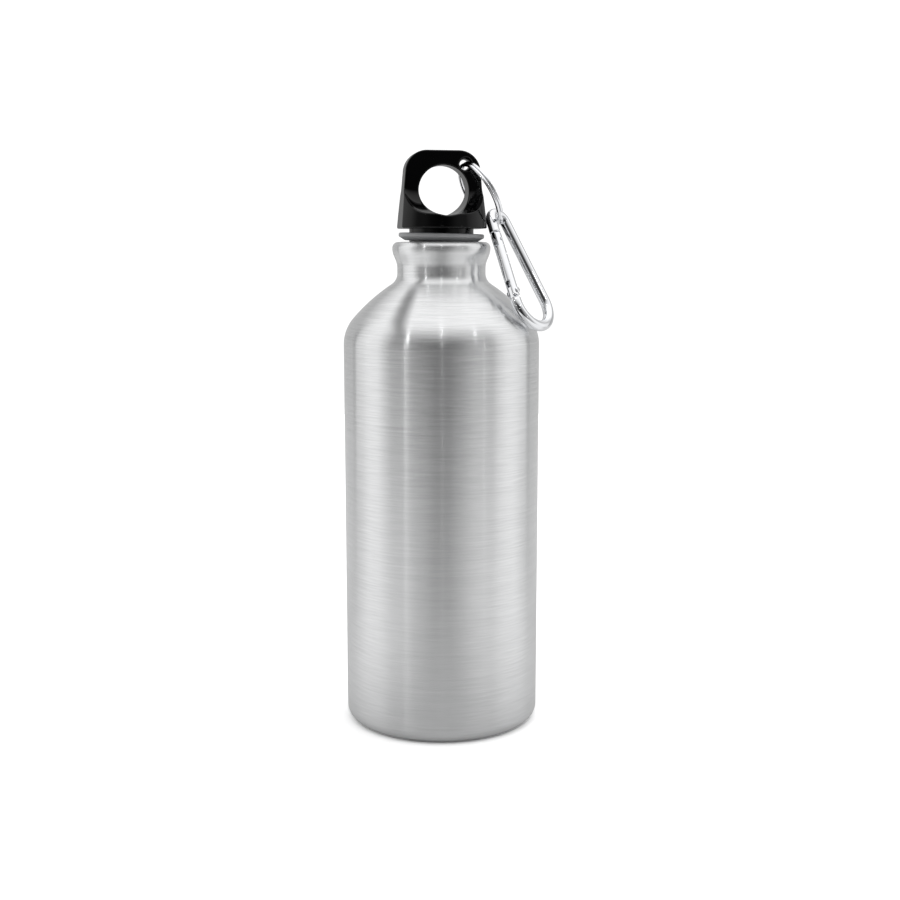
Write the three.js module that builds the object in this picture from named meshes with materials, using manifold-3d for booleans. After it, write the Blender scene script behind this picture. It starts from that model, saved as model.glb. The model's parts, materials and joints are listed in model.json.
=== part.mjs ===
// An aluminium sports bottle: a one-piece shell with a threaded insert in its neck, a loop cap on a
// hollow screw stem, a loose silicone seal, and a snap hook that hangs from the cap on a split ring.
// Millimetres, +Z up. The origin is on the ground plane, on the bottle's axis.

import * as THREE from 'three';
import { mergeVertices } from 'three/addons/utils/BufferGeometryUtils.js';
import Module from 'manifold-3d';

const wasm = await Module();
wasm.setup();

// ---- driving dimensions ----

const BODY_RADIUS = 36.5;
const BODY_HEIGHT = 143.2; // top of the straight wall
const WALL = 1.0;
const BASE_THICKNESS = 1.6;
const BASE_RECESS = 0.9; // height of the base panel above the foot ring
const FOOT_OUTER = 32;
const FOOT_INNER = 27.5;
const CORNER_RADIUS = 4.5;

const SHOULDER_BEND = 15; // radius where the wall turns into the shoulder
const SHOULDER_TURN = 41; // degrees through which it turns
const CROWN_BEND = 70; // radius of the shoulder's slight dome
const NECK_BEND = 4.8; // radius of the hollow at the foot of the neck
const NECK_RADIUS = 16.4; // the narrowest place
const NECK_STRAIGHT = 2; // straight stretch below the collar
const COLLAR_RADIUS = 18.2; // the flared collar around the insert
const COLLAR_RISE = 7.3; // from the straight stretch to the collar's widest
const LIP_RISE = 2.2; // from the collar's widest to the lip's top
const MOUTH_RADIUS = 15.8;

const THREAD_PITCH = 4;
const THREAD_ROOT = 11.9; // radius of the stem between its ridges
const THREAD_DEPTH = 0.85;
const THREAD_CLEARANCE = 0.35;
const STEM_WALL = 1.8;
const STEM_LENGTH = 18;
const STEM_TURNS = 3.6;
const INSERT_LENGTH = 11;
const FIT = 0.3; // gap between pieces that seat on each other

const SEAL_HEIGHT = 3.4;
const SEAL_RADIUS = 15.9;
const SEAL_SQUEEZE = 1.4; // how far the cap stands off the seal

const CAP_TURN = 8.25; // degrees that the cap is turned about the bottle's axis
const CAP_HEIGHT = 28.2;
const CAP_BASE_RADIUS = 17.9;
const CAP_NARROWING = 2.0; // how much the skirt's radius shrinks up to the scoop's top
const CAP_HALF_WIDTH = 15.75; // at the skirt's bottom
const CAP_TOP_HALF_WIDTH = 13.9; // where the shoulder arcs start
const CAP_SHOULDER_RADIUS = 8;
const LOOP_THICKNESS = 9.4;
const SCOOP_BOTTOM = 5; // above the skirt's bottom
const SCOOP_TOP = 15;
const FINGER_HOLE_RADIUS = 9;
const FINGER_HOLE_RISE = 13.6; // above the skirt's bottom
const RING_HOLE = new THREE.Vector2(8.4, 23.3); // across, and above the skirt's bottom
const RING_HOLE_RADIUS = 1.9;
const RING_HOLE_FLARE = 1.5;
const POCKET_DEPTH = 2.6; // socket for the stem's top

const RING_RADIUS = 12.4; // of the wire's centreline
const RING_WIRE_WIDTH = 1.05; // along the ring's axis
const RING_WIRE_DEPTH = 1.3; // across, towards the centre
const RING_COIL_GAP = 0.12;
const RING_JOG = 32; // degrees over which the wire steps from one coil to the other

const HOOK_LENGTH = 50;
const HOOK_ROD = 2; // radius of the rod
const HOOK_TOP_BEND = 4.2; // radius of the rod's centreline
const HOOK_BOTTOM_BEND = 9;
const GATE_PIVOT_DEPTH = 34.4; // from the hook's top, along its length
const GATE_LENGTH = 24; // from the pivot to the tip
const GATE_TIP_GAP = 0.45;
const TONGUE_THICKNESS = 1.5;
const NOSE_TONGUE = [-1.5, 1.4]; // from its outer to its inner edge, across the gate
const NOSE_TONGUE_REACH = 1.7; // from the latch pin to the tongue's end
const HEEL_TONGUE = 1.55; // half its width across the gate
const HEEL_TONGUE_REACH = 1.9; // from the pivot to the tongue's end
const TONGUE_ROOT = 0.5; // how far a tongue runs into the rod
const TONGUE_CLEARANCE = 0.2;
const HEEL_SLOT_TOP = 4.2; // the slot's end above the pivot
const SLOT_ROOM = 0.6; // between the nose tongue and the end of its slot
const RIVET_RADIUS = 0.6;
const RIVET_HEAD_RADIUS = 1.1;
const RIVET_HEAD_THICKNESS = 0.35;
const PIN_RADIUS = 0.5;
const PIN_INSET = 3; // from the gate's tip to the latch pin
const PIN_CLEARANCE = 0.12;
const BORE_RADIUS = 1.15;
const BORE_DEPTH = 12.2; // from the pivot
const PLUNGER_RADIUS = 0.85;
const PLUNGER_SPAN = [2.1, 5.5]; // from the pivot: its end on the heel, its end under the spring
const SPRING_WIRE = 0.16;
const SPRING_TURNS = 6;
const SPRING_GAP = 0.1;

// How the ring and the hook hang beside the cap, as directions and offsets in the bottle's frame.
const RING_FACING = [21.2, 28.5]; // azimuth and elevation of the ring's axis, degrees
const RING_DOWN = new THREE.Vector3(0.493, 0.024, -0.87); // from the cap's hole to the ring's centre
const RING_TO_SEAT = new THREE.Vector3(0.534, -0.121, -0.837); // from its centre to where the hook sits
const HOOK_SEAT = new THREE.Vector3(-1.83, 1.64, 5.03); // from there to the hook's top
const HOOK_DOWN = new THREE.Vector3(0.35, -0.324, -0.879); // down the hook's length
const HOOK_ACROSS = new THREE.Vector3(0.636, 0.771, -0.031); // from the gate to the spine
const HOOK_CLEARANCE = 0.4; // least gap between the hook and the shell

// ---- heights that follow from them ----

// The shoulder turns on through its crown until the neck's bend brings it back upright.
const TURN = THREE.MathUtils.degToRad(SHOULDER_TURN);
const STEEPEST = Math.acos(
  (SHOULDER_BEND + (CROWN_BEND - SHOULDER_BEND) * Math.cos(TURN) + NECK_BEND - BODY_RADIUS + NECK_RADIUS)
    / (CROWN_BEND + NECK_BEND));
const SHOULDER_RISE = (SHOULDER_BEND - CROWN_BEND) * Math.sin(TURN)
  + (CROWN_BEND + NECK_BEND) * Math.sin(STEEPEST);
const NECK_FOOT = BODY_HEIGHT + SHOULDER_RISE;
const WAIST = NECK_FOOT + NECK_STRAIGHT;
const COLLAR = WAIST + COLLAR_RISE;
const LIP_TOP = COLLAR + LIP_RISE;
const INSERT_TOP = LIP_TOP - FIT;
const SEAL_BOTTOM = INSERT_TOP + FIT;
const CAP_BOTTOM = SEAL_BOTTOM + SEAL_HEIGHT + SEAL_SQUEEZE;
const STEM_TOP = CAP_BOTTOM + POCKET_DEPTH - FIT;
const STEM_BOTTOM = STEM_TOP - POCKET_DEPTH - STEM_LENGTH;
const THREAD_CREST = THREAD_ROOT + THREAD_DEPTH;

const ROUND = 48; // segments of large round pieces
const degrees = THREE.MathUtils.degToRad;

// ---- materials ----

function metal(color, roughness) {
  return new THREE.MeshStandardMaterial({ color, roughness, metalness: 1 });
}

function plastic(color, roughness) {
  return new THREE.MeshStandardMaterial({ color, roughness, metalness: 0 });
}

const BRUSHED = metal(0xc9cacc, 0.35);
const CHROME = metal(0xd8dadd, 0.08);
const BLACK = plastic(0x080808, 0.18);
const CLEAR_GREY = plastic(0xbfc1c3, 0.4);
const SILICONE = plastic(0x7d7f82, 0.5);
const SPRING_STEEL = metal(0xa9abad, 0.25);

// ---- solids ----

function solidOf(geometry) {
  const bare = geometry.clone();
  bare.deleteAttribute('normal');
  bare.deleteAttribute('uv');
  const merged = mergeVertices(bare, 1e-4);
  return new wasm.Manifold(new wasm.Mesh({
    numProp: 3,
    vertProperties: new Float32Array(merged.attributes.position.array),
    triVerts: new Uint32Array(merged.index.array),
  }));
}

function geometryOf(solid) {
  const mesh = solid.getMesh();
  const geometry = new THREE.BufferGeometry();
  geometry.setAttribute('position', new THREE.BufferAttribute(mesh.vertProperties, 3));
  geometry.setIndex(new THREE.BufferAttribute(mesh.triVerts, 1));
  return geometry;
}

// A closed skin through a row of rings of points, capped at both ends.
function loft(rings) {
  const sides = rings[0].length;
  const positions = rings.flat().flatMap((point) => point.toArray());
  const index = [];
  for (let ring = 0; ring + 1 < rings.length; ring += 1) {
    for (let side = 0; side < sides; side += 1) {
      const a = ring * sides + side;
      const b = ring * sides + ((side + 1) % sides);
      index.push(a, b + sides, b, a, a + sides, b + sides);
    }
  }
  const last = (rings.length - 1) * sides;
  for (let side = 1; side + 1 < sides; side += 1) {
    index.push(0, side, side + 1);
    index.push(last, last + side + 1, last + side);
  }
  const geometry = new THREE.BufferGeometry();
  geometry.setAttribute('position', new THREE.Float32BufferAttribute(positions, 3));
  geometry.setIndex(index);
  return geometry;
}

// A section, a list of [outwards, along] pairs, carried up a helix about Z.
function helixSweep(section, radius, pitch, startZ, turns, stepsPerTurn, fade = 0) {
  const steps = Math.round(turns * stepsPerTurn);
  const rings = [];
  for (let step = 0; step <= steps; step += 1) {
    const angle = (step / stepsPerTurn) * 2 * Math.PI;
    const fromEnd = Math.min(step, steps - step) / stepsPerTurn;
    const grown = fade ? Math.min(1, 0.15 + fromEnd / fade) : 1;
    rings.push(section.map(([out, along]) => {
      const r = radius + (out > 0 ? out * grown : out);
      const z = startZ + pitch * (angle / (2 * Math.PI)) + along;
      return new THREE.Vector3(r * Math.cos(angle), r * Math.sin(angle), z);
    }));
  }
  return loft(rings);
}

function revolve(profile, segments = ROUND) {
  const points = profile.map(([r, z]) => new THREE.Vector2(r, z));
  points.push(points[0].clone());
  const geometry = new THREE.LatheGeometry(points, segments);
  geometry.rotateX(Math.PI / 2);
  return geometry;
}

function rod(radius, low, high, segments = 20) {
  const geometry = new THREE.CylinderGeometry(radius, radius, high - low, segments);
  geometry.rotateX(Math.PI / 2);
  geometry.translate(0, 0, (low + high) / 2);
  return geometry;
}

// A round bar along Y through a point of the XZ plane.
function crossRod(radius, x, z, halfLength, segments = 20) {
  const geometry = new THREE.CylinderGeometry(radius, radius, 2 * halfLength, segments);
  geometry.translate(x, 0, z);
  return geometry;
}

function block(x0, x1, y0, y1, z0, z1) {
  const geometry = new THREE.BoxGeometry(x1 - x0, y1 - y0, z1 - z0);
  geometry.translate((x0 + x1) / 2, (y0 + y1) / 2, (z0 + z1) / 2);
  return geometry;
}

function named(name, geometry, material) {
  const mesh = new THREE.Mesh(geometry, material);
  mesh.name = name;
  return mesh;
}

// ---- bottle ----

function arcPoints(centreR, centreZ, radius, from, to, steps) {
  const points = [];
  for (let step = 0; step <= steps; step += 1) {
    const angle = degrees(from + ((to - from) * step) / steps);
    points.push([centreR + radius * Math.cos(angle), centreZ + radius * Math.sin(angle)]);
  }
  return points;
}

// The shell's outer line from the corner of the base up to the lip, as [radius, height].
function outerLine() {
  const line = arcPoints(FOOT_OUTER, CORNER_RADIUS, CORNER_RADIUS, -90, 0, 4);
  const footSpan = BODY_RADIUS - FOOT_OUTER - CORNER_RADIUS;
  line.forEach((point) => { point[0] += footSpan * Math.max(0, (point[0] - FOOT_OUTER) / CORNER_RADIUS); });
  line.push([BODY_RADIUS, BODY_HEIGHT]);
  const deg = THREE.MathUtils.radToDeg;
  const crownR = BODY_RADIUS - SHOULDER_BEND + (SHOULDER_BEND - CROWN_BEND) * Math.cos(TURN);
  const crownZ = BODY_HEIGHT + (SHOULDER_BEND - CROWN_BEND) * Math.sin(TURN);
  const steepest = deg(STEEPEST);
  const arcs = [
    [BODY_RADIUS - SHOULDER_BEND, BODY_HEIGHT, SHOULDER_BEND, 0, SHOULDER_TURN, 5],
    [crownR, crownZ, CROWN_BEND, SHOULDER_TURN, steepest, 4],
    [NECK_RADIUS + NECK_BEND, NECK_FOOT, NECK_BEND, steepest - 180, -180, 5],
  ];
  arcs.forEach((arc) => line.push(...arcPoints(...arc).slice(1)));
  const collar = new THREE.CubicBezierCurve(
    new THREE.Vector2(NECK_RADIUS, WAIST),
    new THREE.Vector2(NECK_RADIUS, WAIST + 0.42 * COLLAR_RISE),
    new THREE.Vector2(COLLAR_RADIUS, COLLAR - 0.45 * COLLAR_RISE),
    new THREE.Vector2(COLLAR_RADIUS, COLLAR),
  );
  collar.getPoints(6).forEach((point) => line.push([point.x, point.y]));
  return line;
}

// The same line moved inwards by a distance, square to it.
function inset(line, distance) {
  return line.map(([r, z], i) => {
    const [r0, z0] = line[Math.max(0, i - 1)];
    const [r1, z1] = line[Math.min(line.length - 1, i + 1)];
    const length = Math.hypot(r1 - r0, z1 - z0);
    return [r - (distance * (z1 - z0)) / length, z + (distance * (r1 - r0)) / length];
  });
}

const OUTER = outerLine();
const INNER = inset(OUTER, WALL);

function bottleShell() {
  const lipRadius = LIP_TOP - COLLAR;
  const lip = arcPoints(COLLAR_RADIUS - lipRadius, COLLAR, lipRadius, 30, 90, 2);
  const inside = INNER.filter(([, z]) => z > CORNER_RADIUS);
  const profile = [
    [FOOT_INNER, 0],
    ...OUTER,
    ...lip,
    [MOUTH_RADIUS, LIP_TOP],
    [MOUTH_RADIUS - 0.2, LIP_TOP - 0.5 * WALL],
    [MOUTH_RADIUS, LIP_TOP - WALL],
    [COLLAR_RADIUS - lipRadius, LIP_TOP - WALL],
    ...inside.reverse(),
    [BODY_RADIUS - WALL, CORNER_RADIUS],
    [FOOT_OUTER, BASE_THICKNESS],
    [FOOT_INNER - BASE_THICKNESS, BASE_RECESS + BASE_THICKNESS],
    [0, BASE_RECESS + BASE_THICKNESS],
    [0, BASE_RECESS],
    [FOOT_INNER - 2 * BASE_RECESS, BASE_RECESS],
  ];
  return named('bottle_shell', revolve(profile), BRUSHED);
}

// ---- screw thread ----

// Half the width of a ridge at its foot and at its crest, along the axis.
const RIDGE_FOOT = 0.3 * THREAD_PITCH;
const RIDGE_CREST = 0.14 * THREAD_PITCH;
const THREAD_STEPS = 24;
const THREAD_START = STEM_BOTTOM + RIDGE_FOOT + 0.4;

function ridge(depth, widen) {
  return [
    [-0.6, -RIDGE_FOOT - widen],
    [0, -RIDGE_FOOT - widen],
    [depth, -RIDGE_CREST - widen],
    [depth, RIDGE_CREST + widen],
    [0, RIDGE_FOOT + widen],
    [-0.6, RIDGE_FOOT + widen],
  ];
}

function capStem() {
  const inner = THREAD_ROOT - STEM_WALL;
  const cup = revolve([
    [0, STEM_TOP],
    [THREAD_ROOT, STEM_TOP],
    [THREAD_ROOT, STEM_BOTTOM],
    [inner, STEM_BOTTOM],
    [inner, STEM_TOP - STEM_WALL],
    [0, STEM_TOP - STEM_WALL],
  ].reverse(), THREAD_STEPS * 2);
  const thread = helixSweep(
    ridge(THREAD_DEPTH, 0), THREAD_ROOT, THREAD_PITCH, THREAD_START, STEM_TURNS, THREAD_STEPS, 0.5);
  const solid = solidOf(cup).add(solidOf(thread));
  return named('cap_stem', geometryOf(solid), BLACK);
}

// The ring that lines the neck: its outside follows the shell, its bore has the stem's groove.
function threadInsert() {
  const bore = THREAD_ROOT + THREAD_CLEARANCE;
  const bottom = INSERT_TOP - INSERT_LENGTH;
  const seat = inset(OUTER, WALL + FIT).filter(([, z]) => z > bottom + 0.2 && z < COLLAR - 0.2);
  const widest = COLLAR_RADIUS - WALL - FIT;
  const underLip = LIP_TOP - WALL - FIT;
  const ring = revolve([
    [bore, bottom],
    [seat[0][0], bottom],
    ...seat,
    [widest, COLLAR],
    [widest - 0.8, underLip],
    [MOUTH_RADIUS - 0.2 - FIT, underLip],
    [MOUTH_RADIUS - 0.2 - FIT, INSERT_TOP],
    [bore, INSERT_TOP],
  ], THREAD_STEPS * 2);
  const cutTurns = STEM_TURNS + 3;
  const groove = helixSweep(
    ridge(THREAD_DEPTH + 0.02, THREAD_CLEARANCE), bore, THREAD_PITCH,
    THREAD_START - THREAD_PITCH, cutTurns, THREAD_STEPS);
  return named('thread_insert', geometryOf(solidOf(ring).subtract(solidOf(groove))), CLEAR_GREY);
}

// ---- seal ----

function sealRing() {
  const bore = THREAD_CREST + THREAD_CLEARANCE;
  const top = SEAL_BOTTOM + SEAL_HEIGHT;
  const profile = [
    [bore, SEAL_BOTTOM],
    [bore + 0.5, SEAL_BOTTOM],
    [SEAL_RADIUS - 0.4, SEAL_BOTTOM + 0.52 * SEAL_HEIGHT],
    [SEAL_RADIUS, SEAL_BOTTOM + 0.66 * SEAL_HEIGHT],
    [SEAL_RADIUS - 0.15, SEAL_BOTTOM + 0.88 * SEAL_HEIGHT],
    [SEAL_RADIUS - 0.7, top],
    [bore, top],
  ];
  return named('seal_ring', revolve(profile), SILICONE);
}

// ---- cap ----

// The front outline: sides that narrow upwards, round shoulders and a flat top.
function capOutline() {
  const top = CAP_BOTTOM + CAP_HEIGHT;
  const spring = top - CAP_SHOULDER_RADIUS;
  const bendX = CAP_TOP_HALF_WIDTH - CAP_SHOULDER_RADIUS;
  const outline = new THREE.Shape();
  outline.moveTo(-CAP_HALF_WIDTH, CAP_BOTTOM);
  outline.lineTo(CAP_HALF_WIDTH, CAP_BOTTOM);
  outline.quadraticCurveTo(CAP_HALF_WIDTH - 0.4, CAP_BOTTOM + SCOOP_BOTTOM, CAP_TOP_HALF_WIDTH, spring);
  outline.absarc(bendX, spring, CAP_SHOULDER_RADIUS, 0, Math.PI / 2);
  outline.absarc(-bendX, spring, CAP_SHOULDER_RADIUS, Math.PI / 2, Math.PI);
  outline.quadraticCurveTo(-CAP_HALF_WIDTH + 0.4, CAP_BOTTOM + SCOOP_BOTTOM, -CAP_HALF_WIDTH, CAP_BOTTOM);
  return outline;
}

// The side outline: a plate that spreads through two scoops onto the skirt.
function capSideOutline() {
  const half = LOOP_THICKNESS / 2;
  const low = CAP_BOTTOM + SCOOP_BOTTOM;
  const high = CAP_BOTTOM + SCOOP_TOP;
  const edge = CAP_BASE_RADIUS + 1;
  const outline = new THREE.Shape();
  outline.moveTo(-edge, CAP_BOTTOM - 1);
  outline.lineTo(edge, CAP_BOTTOM - 1);
  outline.lineTo(edge, low);
  outline.absellipse(edge, high, edge - half, high - low, 1.5 * Math.PI, Math.PI, true);
  outline.lineTo(half, CAP_BOTTOM + CAP_HEIGHT + 1);
  outline.lineTo(-half, CAP_BOTTOM + CAP_HEIGHT + 1);
  outline.lineTo(-half, high);
  outline.absellipse(-edge, high, edge - half, high - low, 0, -0.5 * Math.PI, true);
  return outline;
}

// An outline drawn in X and Z, given a thickness along Y.
function slab(outline, halfThickness, curveSegments) {
  const geometry = new THREE.ExtrudeGeometry(outline, {
    depth: 2 * halfThickness, bevelEnabled: false, curveSegments,
  });
  geometry.rotateX(Math.PI / 2);
  geometry.translate(0, halfThickness, 0);
  return geometry;
}

function capBody() {
  const reach = CAP_BASE_RADIUS + 2;
  const top = CAP_BOTTOM + CAP_HEIGHT;
  const front = slab(capOutline(), reach, 8);
  const side = slab(capSideOutline(), reach, 10);
  side.rotateZ(Math.PI / 2);
  const narrow = CAP_BASE_RADIUS - CAP_NARROWING;
  const scoopTop = CAP_BOTTOM + SCOOP_TOP - 2;
  const round = revolve([
    [0, CAP_BOTTOM - 1],
    [CAP_BASE_RADIUS, CAP_BOTTOM - 1],
    [CAP_BASE_RADIUS, CAP_BOTTOM],
    [CAP_BASE_RADIUS - 0.3 * CAP_NARROWING, CAP_BOTTOM + SCOOP_BOTTOM],
    [narrow, scoopTop],
    [reach, scoopTop + 0.5],
    [reach, top + 1],
    [0, top + 1],
  ]);
  const finger = crossRod(FINGER_HOLE_RADIUS, 0, CAP_BOTTOM + FINGER_HOLE_RISE, reach, 32);
  const half = LOOP_THICKNESS / 2;
  const ringHole = revolve([
    [0, -reach],
    [RING_HOLE_RADIUS + RING_HOLE_FLARE, -reach],
    [RING_HOLE_RADIUS + RING_HOLE_FLARE, -half],
    [RING_HOLE_RADIUS + 0.35 * RING_HOLE_FLARE, -0.55 * half],
    [RING_HOLE_RADIUS, 0],
    [RING_HOLE_RADIUS + 0.35 * RING_HOLE_FLARE, 0.55 * half],
    [RING_HOLE_RADIUS + RING_HOLE_FLARE, half],
    [RING_HOLE_RADIUS + RING_HOLE_FLARE, reach],
    [0, reach],
  ], 16);
  ringHole.rotateX(Math.PI / 2);
  ringHole.translate(RING_HOLE.x, 0, CAP_BOTTOM + RING_HOLE.y);
  const pocket = rod(THREAD_ROOT + FIT, CAP_BOTTOM - 1, CAP_BOTTOM + POCKET_DEPTH, ROUND);
  const solid = [finger, ringHole, pocket].reduce(
    (rest, cutter) => rest.subtract(solidOf(cutter)),
    solidOf(front).intersect(solidOf(side)).intersect(solidOf(round)),
  );
  return named('cap_body', geometryOf(solid), BLACK);
}

// ---- split ring ----

function ringHoleCentre() {
  return new THREE.Vector3(RING_HOLE.x, 0, CAP_BOTTOM + RING_HOLE.y)
    .applyAxisAngle(new THREE.Vector3(0, 0, 1), degrees(CAP_TURN));
}

function ringCentre() {
  return ringHoleCentre().addScaledVector(RING_DOWN, RING_RADIUS);
}

// Two coils of flat wire side by side; a short jog carries the wire from one to the other.
function splitRing() {
  const offset = (RING_WIRE_WIDTH + RING_COIL_GAP) / 2;
  const sweep = 360 - RING_JOG;
  const step = 8;
  const corner = 0.3;
  const w = RING_WIRE_WIDTH / 2;
  const d = RING_WIRE_DEPTH / 2;
  const section = [
    [-d, -w + corner], [-d + corner, -w], [d - corner, -w], [d, -w + corner],
    [d, w - corner], [d - corner, w], [-d + corner, w], [-d, w - corner],
  ];
  const rings = [];
  for (let angle = -sweep; angle <= sweep; angle += step) {
    const across = THREE.MathUtils.clamp(angle / (0.8 * RING_JOG), -1, 1);
    const shift = offset * Math.sin((across * Math.PI) / 2);
    const turn = degrees(angle);
    rings.push(section.map(([out, along]) => new THREE.Vector3(
      (RING_RADIUS + out) * Math.cos(turn), (RING_RADIUS + out) * Math.sin(turn), shift + along)));
  }
  const mesh = named('split_ring', loft(rings), CHROME);
  const [azimuth, elevation] = RING_FACING.map(degrees);
  const axis = new THREE.Vector3(
    Math.cos(elevation) * Math.cos(azimuth), Math.cos(elevation) * Math.sin(azimuth), Math.sin(elevation));
  mesh.quaternion.setFromUnitVectors(new THREE.Vector3(0, 0, 1), axis);
  mesh.position.copy(ringCentre());
  return mesh;
}

// ---- snap hook ----

// In the hook's own frame X runs from the gate to the spine and Z runs down its length from the top.
const TOP_BEND_DEPTH = HOOK_ROD + HOOK_TOP_BEND;
const BOTTOM_BEND_DEPTH = HOOK_LENGTH - HOOK_ROD - HOOK_BOTTOM_BEND;
const FLARE = Math.asin((HOOK_BOTTOM_BEND - HOOK_TOP_BEND) / (BOTTOM_BEND_DEPTH - TOP_BEND_DEPTH));
const GATE_TILT = new THREE.Vector2(-Math.sin(FLARE), Math.cos(FLARE)); // down the gate's line
const PIVOT = new THREE.Vector2(
  -HOOK_TOP_BEND * Math.cos(FLARE)
    + (GATE_TILT.x / GATE_TILT.y) * (GATE_PIVOT_DEPTH - TOP_BEND_DEPTH + HOOK_TOP_BEND * Math.sin(FLARE)),
  GATE_PIVOT_DEPTH,
);
const NOSE = GATE_LENGTH + GATE_TIP_GAP; // the rod's shoulder above the gate, from the pivot
const HEEL = HOOK_ROD + 0.6; // the rod's shoulder below the pivot
const SLOT = TONGUE_THICKNESS / 2 + TONGUE_CLEARANCE;

// A point on the gate's line, a distance above the pivot.
function onGateLine(above) {
  return new THREE.Vector2(PIVOT.x - above * GATE_TILT.x, PIVOT.y - above * GATE_TILT.y);
}

function hookLine() {
  const line = [onGateLine(NOSE)];
  const bend = (depth, radius, from, to, steps) => {
    for (let step = 0; step <= steps; step += 1) {
      const angle = from + ((to - from) * step) / steps;
      line.push(new THREE.Vector2(radius * Math.cos(angle), depth + radius * Math.sin(angle)));
    }
  };
  bend(TOP_BEND_DEPTH, HOOK_TOP_BEND, Math.PI + FLARE, 2 * Math.PI - FLARE, 9);
  bend(BOTTOM_BEND_DEPTH, HOOK_BOTTOM_BEND, -FLARE, Math.PI + FLARE, 12);
  line.push(onGateLine(-HEEL));
  return line;
}

// Places a piece drawn about the pivot: its X points into the hook, its Z along the gate to the nose.
function atGate(geometry) {
  const inward = new THREE.Vector3(Math.cos(FLARE), 0, Math.sin(FLARE));
  const toNose = new THREE.Vector3(-GATE_TILT.x, 0, -GATE_TILT.y);
  const across = new THREE.Vector3().crossVectors(toNose, inward);
  const place = new THREE.Matrix4().makeBasis(inward, across, toNose);
  place.setPosition(PIVOT.x, 0, PIVOT.y);
  return geometry.applyMatrix4(place);
}

function hookFrame() {
  const line = hookLine();
  const sides = 10;
  const rings = line.map((point, i) => {
    const before = line[Math.max(0, i - 1)];
    const after = line[Math.min(line.length - 1, i + 1)];
    const along = new THREE.Vector2().subVectors(after, before).normalize();
    return Array.from({ length: sides }, (_, side) => {
      const angle = (2 * Math.PI * side) / sides;
      const across = HOOK_ROD * Math.cos(angle);
      const deep = HOOK_ROD * Math.sin(angle);
      return new THREE.Vector3(point.x - across * along.y, deep, point.y + across * along.x);
    });
  });
  const thick = TONGUE_THICKNESS / 2;
  const pin = GATE_LENGTH - PIN_INSET;
  const notch = PIN_RADIUS + 0.25;
  const [outer, inner] = NOSE_TONGUE;
  const end = pin - NOSE_TONGUE_REACH;
  const noseTongue = solidOf(atGate(block(outer, inner, -thick, thick, end, NOSE + TONGUE_ROOT)))
    .subtract(solidOf(atGate(block(-notch, 3, -1, 1, pin - notch, pin + notch))));
  const [heelLow, heelHigh] = [-HEEL - TONGUE_ROOT, HEEL_TONGUE_REACH];
  const heelTongue = solidOf(atGate(block(-HEEL_TONGUE, HEEL_TONGUE, -thick, thick, heelLow, heelHigh)))
    .subtract(solidOf(atGate(crossRod(RIVET_RADIUS + PIN_CLEARANCE, 0, 0, HOOK_ROD, 12))));
  const solid = solidOf(loft(rings)).add(noseTongue).add(heelTongue);
  return named('hook_frame', geometryOf(solid), CHROME);
}

function hookGate() {
  const long = solidOf(rod(HOOK_ROD, -HOOK_ROD, GATE_LENGTH, 16));
  const roundHeel = solidOf(crossRod(HOOK_ROD, 0, 0, HOOK_ROD, 20))
    .add(solidOf(block(-HOOK_ROD, HOOK_ROD, -HOOK_ROD, HOOK_ROD, 0, GATE_LENGTH + 1)));
  const slotTop = GATE_LENGTH - PIN_INSET - NOSE_TONGUE_REACH - SLOT_ROOM;
  const cutters = [
    block(-3, 3, -SLOT, SLOT, -3, HEEL_SLOT_TOP),
    block(-3, 3, -SLOT, SLOT, slotTop, GATE_LENGTH + 1),
    rod(BORE_RADIUS, HEEL_SLOT_TOP - 0.2, BORE_DEPTH, 12),
    crossRod(RIVET_RADIUS + PIN_CLEARANCE, 0, 0, 3, 12),
    crossRod(PIN_RADIUS + PIN_CLEARANCE, 0, GATE_LENGTH - PIN_INSET, 3, 12),
  ];
  const solid = cutters.reduce((rest, cutter) => rest.subtract(solidOf(cutter)), long.intersect(roundHeel));
  return named('hook_gate', atGate(geometryOf(solid)), CHROME);
}

function gateRivet() {
  const head = RIVET_HEAD_THICKNESS;
  const shank = HOOK_ROD + 0.15;
  const solid = solidOf(crossRod(RIVET_RADIUS, 0, 0, shank + head / 2, 12))
    .add(solidOf(crossRod(RIVET_HEAD_RADIUS, 0, 0, head / 2, 12).translate(0, shank + head / 2, 0)))
    .add(solidOf(crossRod(RIVET_HEAD_RADIUS, 0, 0, head / 2, 12).translate(0, -shank - head / 2, 0)));
  return named('gate_rivet', atGate(geometryOf(solid)), CHROME);
}

function latchPin() {
  const pin = crossRod(PIN_RADIUS, 0, GATE_LENGTH - PIN_INSET, HOOK_ROD + 0.2, 12);
  return named('latch_pin', atGate(pin), CHROME);
}

function gatePlunger() {
  return named('gate_plunger', atGate(rod(PLUNGER_RADIUS, ...PLUNGER_SPAN, 12)), SPRING_STEEL);
}

function gateSpring() {
  const low = PLUNGER_SPAN[1] + 2 * SPRING_WIRE + SPRING_GAP;
  const high = BORE_DEPTH - 2 * SPRING_WIRE;
  const sides = 6;
  const section = Array.from({ length: sides }, (_, side) => {
    const angle = (2 * Math.PI * side) / sides;
    return [SPRING_WIRE * Math.cos(angle), SPRING_WIRE * Math.sin(angle)];
  });
  const pitch = (high - low) / SPRING_TURNS;
  const coil = helixSweep(section, PLUNGER_RADIUS - SPRING_WIRE, pitch, low, SPRING_TURNS, 12);
  return named('gate_spring', atGate(coil), SPRING_STEEL);
}

// ---- assembly ----

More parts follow.
